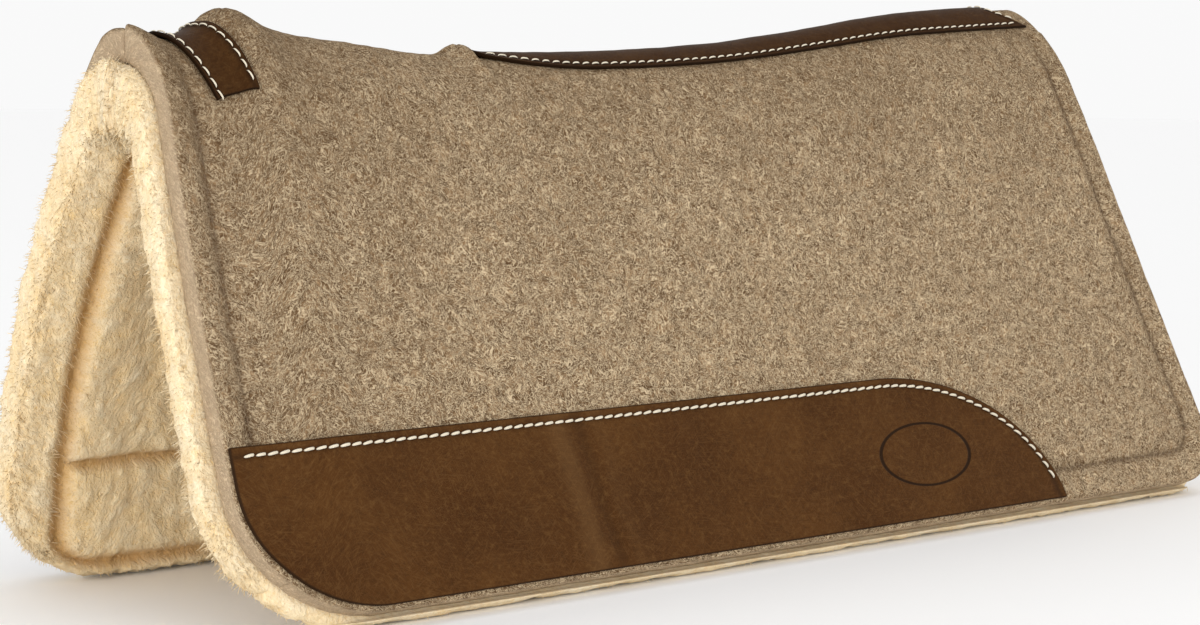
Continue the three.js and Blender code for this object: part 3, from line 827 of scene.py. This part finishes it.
def fleece_lining(name, side):
    flank, ahead, r = FLANKS[side], STANCE[side]["ahead"], 10.0
    arc = rounded(r, 0, 15, 30, 45, 60, 75)
    near_front = 130 if side > 0 else 90
    rear_start = LENGTH - 90
    runs = ((r - ahead, near_front, 2.6), (near_front, rear_start, 5.2), (rear_start, LENGTH - r, 3.2))
    xs = ended(arc, -ahead, LENGTH, spaced(*runs))
    bs = ended(arc, 0, NOMINAL, spaced((r, 120, 2.8), (120, NOMINAL - r, 3.6)))
    cs = ended(arc, 0, PILE_THICK, np.linspace(r, PILE_THICK - r, 4))
    points, quads, x, s, c, top = fleece_body(side, xs, bs, cs, r)
    real_b = flank.length(x) - s

    few = rounded(r, 0, 30, 60)
    coarse_xs = ended(few, -ahead, LENGTH, spaced((r - ahead, LENGTH - r, 8.5)))
    coarse_bs = ended(few, 0, NOMINAL, spaced((r, NOMINAL - r, 8.5)))
    coarse_cs = ended(few, 0, PILE_THICK, [])
    base, faces, cx, sx, cc, ctop = fleece_body(side, coarse_xs, coarse_bs, coarse_cs, r)
    cb = flank.length(cx) - sx
    hold = np.maximum.reduce([1 - smooth(cc, 0.1, 0.5), quilting(side, cx, cb, cc),
                              1 - smooth(sx - ctop, 4, 22), 1 - smooth(base[:, 2], 2, 8)])
    moved = puffed(base, faces, hold)
    at = np.stack([x, s, c * PILE_THICK], 1)
    points = points + carried(np.stack([cx, sx, cc * PILE_THICK], 1), moved, at)

    flat = np.stack([x, side * s, -c * PILE_THICK], 1)
    normals = vertex_normals(points, quads)
    height, hollow_shade = pile(flat, 31 if side < 0 else 51)
    free = smooth(c, 0.05, 0.4) + (1 - smooth(x, -7, 0)) + 0.3 * (1 - smooth(real_b, -1, 4)) * (c < 0.3)
    free = np.clip(free, 0, 1) * np.maximum(smooth(s - top, 0, 14), 1 - smooth(x, -6, 2))
    groove = quilting(side, x, real_b, c)
    points += normals * (free * (height * (1 - 0.2 * groove) - 9.0 * groove))[:, None]
    # Painted shade: the lining is coloured darker golden along its quilted creases and round its top.
    crease = quilting(side, x, real_b, c * 0 + 1) ** 0.8
    crease = np.maximum(crease, 0.6 * (1 - smooth(s - top, 12, 85)) * smooth(x, 4, 20)) * smooth(c, 0.5, 0.9)
    # Painted shade: the lining is coloured darker golden in its crevices.
    hollow_shade = np.clip(hollow_shade * 0.7, 0, 1) * smooth(c, 0.1, 0.5)

    normals = vertex_normals(points, quads)
    rng = np.random.default_rng(400 + side)
    front = (x < 16) & (real_b > -2)
    foot = (real_b < 26) & (x > 0)
    rear = x > LENGTH - 20
    inside = (c > 0.6) & ~front & ~foot & ~rear & ((x < near_front) | (x > LENGTH - 90))
    chance = 0.55 * front + (0.1 if side > 0 else 0.25) * (foot & ~front)
    chance = chance + 0.3 * (rear & ~foot) + 0.05 * inside
    chance = chance + 0.2 * (groove > 0.1) * ((side > 0) | front)
    chance = chance * ((free > 0.3) | front)
    chosen = rng.random(len(x)) < chance
    comb = np.where(front[:, None], (0, 0, -1.0), (0.25, 0, -1.0)) + rng.normal(0, 0.3, (len(x), 3))
    comb = unit(comb - normals * np.sum(comb * normals, 1)[:, None])
    long = np.where(front | rear, 5.0, 3.6) * (1 + 0.4 * bell(c - 0.9, 0.15) * front)
    tips, tris, end = hairs(points[chosen], normals[chosen], comb[chosen], long[chosen], 0.3, 500 + side)
    spread = np.repeat(np.nonzero(chosen)[0], HAIR_POINTS)
    jitter = (tips - points[spread]) * 0.6
    points_all = np.concatenate([points, tips])
    points_all[:, 2] = np.maximum(points_all[:, 2], 0.3)
    faces_all = [tuple(q) for q in quads] + [tuple(t + len(points)) for t in tris]
    flat_all = np.concatenate([flat, flat[spread] + jitter]) / 1000
    # The hairs carry the painted shade of the places they grow from, fading towards their tips.
    hollow_shade_all = np.concatenate([hollow_shade, hollow_shade[spread] * (1 - end)])
    crease_shade_all = np.concatenate([crease, crease[spread] * (1 - 0.6 * end)])
    return make_object(name, points_all, faces_all, FLEECE_LOOK,
                       {"flat": flat_all, "hollow_shade": hollow_shade_all, "crease": crease_shade_all})


# ---- Leather pieces ----
EDGE_ROUND = 1.1
EDGE_ARC = rounded(EDGE_ROUND, 0, 30, 60)


def rimmed(low, high, *runs):
    """Places from low to high with closer ones in the rounded edges at both ends."""
    return ended(EDGE_ARC, low, high, spaced(*runs))


def sheet_lattice(us, vs):
    """A closed leather sheet's lattice with rounded edges: u, v, the depth below its face, 1 on that face
    falling to 0 below it, its quads, and 1 on its edges."""
    cs = ended(EDGE_ARC, 0, LEATHER, [LEATHER / 2])
    p, quads = box_lattice(us, vs, cs)
    low = np.array((us[0], vs[0], 0.0))
    high = np.array((us[-1], vs[-1], LEATHER))
    rim = np.minimum(p - low, high - p)[:, :2].min(axis=1)
    edge = np.maximum(1 - np.clip(rim, 0, None) / 2.6, smooth(p[:, 2], 0.5, 1.2))
    u, v, depth = rounded_box(p, low, high, EDGE_ROUND).T
    return u, v, depth, 1 - smooth(depth, 0, LEATHER), quads, edge


def leather_sheet(name, look, points, quads, flat, edge, row, face, wrinkle=None, mark=None):
    """row: distance from the stitched lines. mark: 1 away from its middle on the pressed oval line."""
    n = len(points)
    return make_object(name, points, outward(points, quads), look,
                       {"flat": flat / 1000, "edge": edge, "row": bell(row, 1.3) * face,
                        "wrinkle": np.zeros(n) if wrinkle is None else wrinkle,
                        "mark": np.full((n, 3), 9.0) if mark is None else mark})


def both_sides(x, s, lift):
    """Points for signed arc distances: negative ones are on the near flank."""
    near, off = (FLANKS[side].at(x, np.abs(s), lift) for side in (-1, 1))
    return np.where((s < 0)[:, None], near, off)


# The wear leather's wrinkles: where along the pad, how wide and how high.
WRINKLES = (
    (256, 8, 0.7), (274, 4.5, -0.8), (288, 7, 0.35), (322, 5, -0.3), (366, 6, 0.25), (374, 5, -0.3),
    (487, 7, -0.2), (150, 8, -0.15), (560, 8, 0.15),
)
MARK = {"x": 520.0, "b": 49.0, "half": (41.0, 22.5), "tilt": 0.03}


def wear_leather(name, side):
    flank = FLANKS[side]
    low, high = 3.0, float(WEAR_HEIGHT)
    end = WEAR_STRAIGHT + WEAR_SWEEP
    xs = rimmed(0.5, end, (0.5 + EDGE_ROUND, end - 12, 3.4), (end - 12, end - EDGE_ROUND, 1.1))
    bs = rimmed(low, high, (low + EDGE_ROUND, high - 12, 3.4), (high - 12, high - EDGE_ROUND, 1.1))
    x, b, depth, face, quads, edge = sheet_lattice(xs, bs)
    x = x + (low - 0.5) * (1 - smooth(b, low, 75)) * (1 - smooth(x, 0, 40))
    x, b = round_corners(side, x, b)
    px, pb = np.clip(x - WEAR_STRAIGHT, 0, None) / WEAR_SWEEP, (b - low) / (high - low)
    k = np.maximum(px, pb) / np.maximum(np.hypot(px, pb), 1e-9)
    wrap = x > WEAR_STRAIGHT
    x = np.where(wrap, WEAR_STRAIGHT + WEAR_SWEEP * px * k, x)
    b = np.where(wrap, low + (high - low) * pb * k, b)
    s = flank.length(x) - b
    flat = np.stack([x, side * s, -depth], 1)
    along = flank.at(x, s, 0)[:, 0]
    lean = along + 0.10 * (b - 50) + 3.0 * noise(flat, 40, 71)
    wrinkle = np.zeros(len(x))
    for where, width, depth_mm in WRINKLES:
        wrinkle += depth_mm * bell(lean - where, width)
    if side > 0:
        wrinkle *= 0.6
    row = np.abs(wear_row(x, b))
    relief = wrinkle * smooth(b, 0, 25) * (1 - 0.6 * smooth(b, 80, 104)) - 0.45 * bell(row, 1.6) * face
    relief += 0.3 * noise(flat, 45, 72) + 0.15 * noise(flat, 16, 73)
    points = flank.at(x, s, 0.3 + LEATHER - depth + np.maximum(relief, -0.25 - 1.2 * face))
    mark = None
    if side < 0:
        dx, db = x - MARK["x"], b - MARK["b"]
        u, v = dx + MARK["tilt"] * db, db - MARK["tilt"] * dx
        mark = np.stack([u / MARK["half"][0], v / MARK["half"][1], 0 * u], 1)
    return leather_sheet(name, LEATHER_LOOK, points, quads, flat, edge, row, face, wrinkle, mark)


def spine_half(x):
    k = np.clip((x - SPINE["front"]) / 110, 0, 1)
    widening = smooth(x, 560, 740)
    return np.maximum(4, lerp(SPINE["half"], SPINE["rear_half"], widening) * np.sqrt(1 - (1 - k) ** 2))


def spine_leather():
    us = rimmed(0, SPINE_LONG, (EDGE_ROUND, 40, 2.0), (40, 500, 3.6), (500, SPINE_LONG - EDGE_ROUND, 2.0))
    vs = rimmed(-28, 28, (-28 + EDGE_ROUND, -20, 1.2), (-20, 20, 2.6), (20, 28 - EDGE_ROUND, 1.2))
    u, v, depth, face, quads, edge = sheet_lattice(us, vs)
    across = v / 28
    x = SPINE["front"] + (SPINE["rear"] + SPINE["tip"] * across**2 - SPINE["front"]) * u / SPINE_LONG
    s = across * spine_half(x)
    flat = np.stack([x, s, -depth], 1)
    end_row = SPINE_LONG - u - 4.5 + 99 * (np.abs(s) > 24)
    row = np.abs(np.minimum(np.abs(spine_half(x) - SPINE["row"] - np.abs(s)), end_row))
    relief = 0.5 * noise(flat, 40, 81) + 0.2 * noise(flat, 15, 82) - 0.45 * bell(row, 1.5) * face
    relief += np.maximum(pucker(1, x, np.abs(s)), 0) * 0.3
    points = both_sides(x, s, 0.5 + LEATHER - depth + relief)
    return leather_sheet("spine_leather_strip", DARK_LEATHER_LOOK, points, quads, flat, edge, row, face)


def strap_x(s, v):
    return STRAP["front"] + STRAP["drift"] * np.abs(s) * (1 - STRAP["spread"] * v) + STRAP["width"] * v


def wither_strap():
    reach, width = STRAP["reach"], STRAP["width"]
    us = rimmed(-reach, reach, (-reach + EDGE_ROUND, reach - EDGE_ROUND, 2.2))
    vs = rimmed(0, width, (EDGE_ROUND, 8, 1.1), (8, 26, 2.4), (26, width - EDGE_ROUND, 1.1))
    u, v0, depth, face, quads, edge = sheet_lattice(us, vs)
    v = v0 / width
    s = u / reach * (reach - STRAP["scallop"] * 4 * v * (1 - v) + STRAP["rear_reach"] * v)
    x = strap_x(s, v)
    flat = np.stack([x, s, -depth], 1)
    row = np.minimum(np.abs(v0 - STRAP["row"]), np.abs(width - STRAP["row"] - v0))
    relief = 0.35 * noise(flat, 25, 91) - 0.5 * bell(row, 1.5) * face
    points = both_sides(x, s, 0.9 + LEATHER - depth + relief)
    return leather_sheet("wither_strap_leather", DARK_LEATHER_LOOK, points, quads, flat, edge, row, face)


# ---- Stitches ----
PITCH = 8.5
RINGS = 9
SIDES = 7


def stitches(name, xs, ss, lift, material, length=7.6, width=0.98, height=0.7, pitch=PITCH, lean=0.11,
             sink=1.1, seed=0):
    """One thread grain per stitch along a path in the surface; signed arc distances."""
    xs, ss = np.asarray(xs, float), np.asarray(ss, float)
    lift = np.broadcast_to(np.asarray(lift, float), xs.shape)
    base = both_sides(xs, ss, lift)
    above = both_sides(xs, ss, lift + 1)
    run = np.concatenate([[0], np.cumsum(np.linalg.norm(np.diff(base, axis=0), axis=1))])
    count = max(1, int(run[-1] / pitch))
    rng = np.random.default_rng(100 + seed)
    starts = (np.arange(count) + 0.5) * run[-1] / count

    def along(values, at):
        return np.stack([np.interp(at, run, values[:, i]) for i in range(3)], 1)

    points, faces, ends, flats = [], [], [], []
    for k, at in enumerate(starts):
        half = length / 2 * (1 + rng.uniform(-0.06, 0.06))
        t = np.linspace(-1, 1, RINGS)
        centre = along(base, at + t * half)
        up = unit(along(above, at + t * half) - centre)
        forward = unit(along(base, np.array([at + 1])) - along(base, np.array([at - 1])))[0]
        sideways = unit(np.cross(up, forward))
        swing = (lean + rng.uniform(-0.04, 0.04)) * t * half
        arch = height * (1 - t**2) - sink * t**6
        radius = np.sqrt(np.clip(1 - np.abs(t) ** 2.6, 0, 1)) * 0.85 + 0.15
        centre = centre + up * arch[:, None] + sideways * swing[:, None]
        first = len(points)
        for r in range(RINGS):
            for q in range(SIDES):
                angle = 2 * math.pi * q / SIDES + 0.5 * t[r]
                offset = sideways[r] * math.cos(angle) * width + up[r] * math.sin(angle) * width * 0.8
                points.append(centre[r] + offset * radius[r])
                # Near its ends, where the thread sinks in, the stitch's colour is darkened as painted shade.
                ends.append(abs(t[r]) ** 6)
                flats.append((at + t[r] * half, math.cos(angle) * width, math.sin(angle) * width))
        for r in range(RINGS - 1):
            for q in range(SIDES):
                a, b = first + r * SIDES + q, first + r * SIDES + (q + 1) % SIDES
                faces.append((a, b, b + SIDES, a + SIDES))
        faces.append(tuple(first + q for q in range(SIDES))[::-1])
        faces.append(tuple(first + (RINGS - 1) * SIDES + q for q in range(SIDES)))
    points = np.array(points)
    f = faces[0]
    inward = np.dot(np.cross(points[f[1]] - points[f[0]], points[f[2]] - points[f[1]]),
                    points[f[0]] - points[:RINGS * SIDES].mean(0)) < 0
    if inward:
        faces = [tuple(reversed(f)) for f in faces]
    return make_object(name, points, faces, material,
                       {"flat": np.array(flats) / 1000, "end": np.array(ends)})


def wear_path(side):
    top, sweep = WEAR_HEIGHT - WEAR_ROW, WEAR_SWEEP - WEAR_ROW
    xs = np.arange(8.0, WEAR_STRAIGHT, 4)
    turn = np.radians(np.linspace(0, 83, 60))
    xs = np.concatenate([xs, WEAR_STRAIGHT + sweep * np.sin(turn)])
    bs = np.concatenate([np.full(len(xs) - 60, top), WEAR_TIP + (top - WEAR_TIP) * np.cos(turn)])
    return xs, side * (FLANKS[side].length(xs) - bs)


def seam_path(side, front):
    flank = FLANKS[side]
    if front:
        low = flank.length(SEAM_ENDS) - WEAR_HEIGHT - 3
        return np.full(60, SEAM_ENDS), side * np.linspace(70, low, 60)
    turn = np.radians(np.linspace(0, 90, 20))
    end = LENGTH - SEAM_ENDS
    xs = np.concatenate([np.full(80, end), end - SEAM_TURN * (1 - np.cos(turn)), np.linspace(763, 640, 40)])
    bs = np.concatenate([np.linspace(340, 54, 80), SEAM_LOW + SEAM_TURN * (1 - np.sin(turn)),
                         np.full(40, SEAM_LOW)])
    return xs, side * (flank.length(xs) - bs)


def finish_piece(piece, nodes, body=None):
    """Hides the CAD parts that a piece stands in for, then parents it to one half's empty so that it moves
    with that half, or else bakes its placement into its mesh.
    """
    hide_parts(*nodes)
    if body:
        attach(piece, body)
    else:
        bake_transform(piece)


def sew(name, slot, node, body, xs, ss, lift, **sizes):
    finish_piece(stitches(name, xs, ss, lift, THREADS[slot], **sizes), [node], body)


ROW_LIFT = LEATHER + 0.55
SPINE_THREAD = {"length": 7.0, "width": 0.62, "height": 0.45}
for half, side in HALVES:
    felt = felt_panel(f"{half}_felt", side)
    finish_piece(felt, [f"{half}_felt_panel"])
    fleece = fleece_lining(f"{half}_fleece", side)
    finish_piece(fleece, [f"{half}_fleece_lining"])
    body = f"{half}_half"
    wear = wear_leather(f"{half}_wear_leather_sheet", side)
    finish_piece(wear, [f"{half}_wear_leather"], body)
    sew(f"{half}_wear_stitches", "white_thread", f"{half}_wear_stitching", body, *wear_path(side), ROW_LIFT,
        seed=side + 1)
    for k, end in enumerate(("front", "rear")):
        sew(f"{half}_{end}_edge_stitches", "felt_thread", f"{half}_{end}_edge_seam", body,
            *seam_path(side, end == "front"), -3.1, length=5.0, width=0.5, height=0.3, lean=0.0, seed=10 + k)
    xs = np.arange(272.0, SPINE["rear"] + SPINE["tip"] - 10, 4)
    sew(f"spine_stitches_{half}", "white_thread", f"spine_stitching_{half}", None, xs,
        side * (spine_half(xs) - SPINE["row"]), ROW_LIFT + 0.2, seed=20 + side, **SPINE_THREAD)

finish_piece(spine_leather(), ["spine_leather"])
finish_piece(wither_strap(), ["wither_strap"])
v = np.linspace(-1, 1, 41)
end_x = SPINE["rear"] - 5 + (SPINE["tip"] - 4) * v * v
sew("spine_stitches_rear", "white_thread", "spine_stitching_rear", None, end_x, v * (spine_half(end_x) - 7),
    ROW_LIFT + 0.2, seed=30, **SPINE_THREAD)
in_share = STRAP["row"] / STRAP["width"]
for k, (where, share) in enumerate((("front", in_share), ("rear", 1 - in_share))):
    s = np.linspace(-(STRAP["reach"] + 1), STRAP["reach"] + 1, 90)
    sew(f"strap_stitches_{where}", "white_thread", f"strap_stitching_{where}", None, strap_x(s, share), s,
        ROW_LIFT + 0.6, length=7.4, width=0.62, height=0.5, seed=40 + k)
for where, start, end in (("wither", 4, 68), ("spine", 256, 806)):
    xs = np.linspace(start, end, int((end - start) / 2.8))
    zigzag = 2.6 * (1 - 2 * (np.arange(len(xs)) % 2))
    sew(f"{where}_seam_stitches", "felt_thread", f"{where}_seam_thread", None, xs, zigzag, -0.7, length=3.2,
        width=0.5, height=0.3, pitch=4.0, lean=0, sink=0.4, seed=50)

# ---- Floor, light and camera ----
floor_material = Shader("pale_floor", 0.9)
floor_material.bsdf.inputs["Base Color"].default_value = (0.985, 0.985, 0.985, 1)
bpy.ops.mesh.primitive_plane_add(size=30, location=(0, 6, 0))
floor = bpy.context.object
floor.name = "floor"
floor.data.materials.append(floor_material.material)

world = bpy.data.worlds.new("studio")
bpy.context.scene.world = world
world.use_nodes = True
background = world.node_tree.nodes["Background"].inputs
background["Color"].default_value = (1, 1, 1, 1)
background["Strength"].default_value = 0.95
bpy.context.scene.view_settings.view_transform = "Standard"


def soft_light(name, location, target, size, power):
    data = bpy.data.lights.new(name, "AREA")
    data.shape, data.size, data.energy = "DISK", size, power
    lamp = link(bpy.data.objects.new(name, data))
    lamp.location = location
    lamp.rotation_euler = (Vector(target) - Vector(location)).to_track_quat("-Z", "Y").to_euler()


soft_light("key", (0.2, -3.1, 0.7), (0.15, 0, 0.12), 1.5, 14.0)
soft_light("front", (-2.9, -1.5, 0.45), (-0.42, 0.05, 0.16), 1.1, 43)

camera_data = bpy.data.cameras.new("camera")
camera_data.sensor_width = 36
camera_data.lens = 84
camera = link(bpy.data.objects.new("camera", camera_data))
bpy.context.scene.camera = camera
yaw, pitch = math.radians(-42.04), math.radians(4.89)
right = Vector((math.cos(yaw), math.sin(yaw), 0))
ahead = Vector((-math.sin(yaw) * math.cos(pitch), math.cos(yaw) * math.cos(pitch), -math.sin(pitch)))
turn = Matrix((right, right.cross(ahead), -ahead)).transposed()
camera.matrix_world = Matrix.Translation(Vector((-1.364, -1.435 + SEAM_Y / 1000, 0.329))) @ turn.to_4x4()
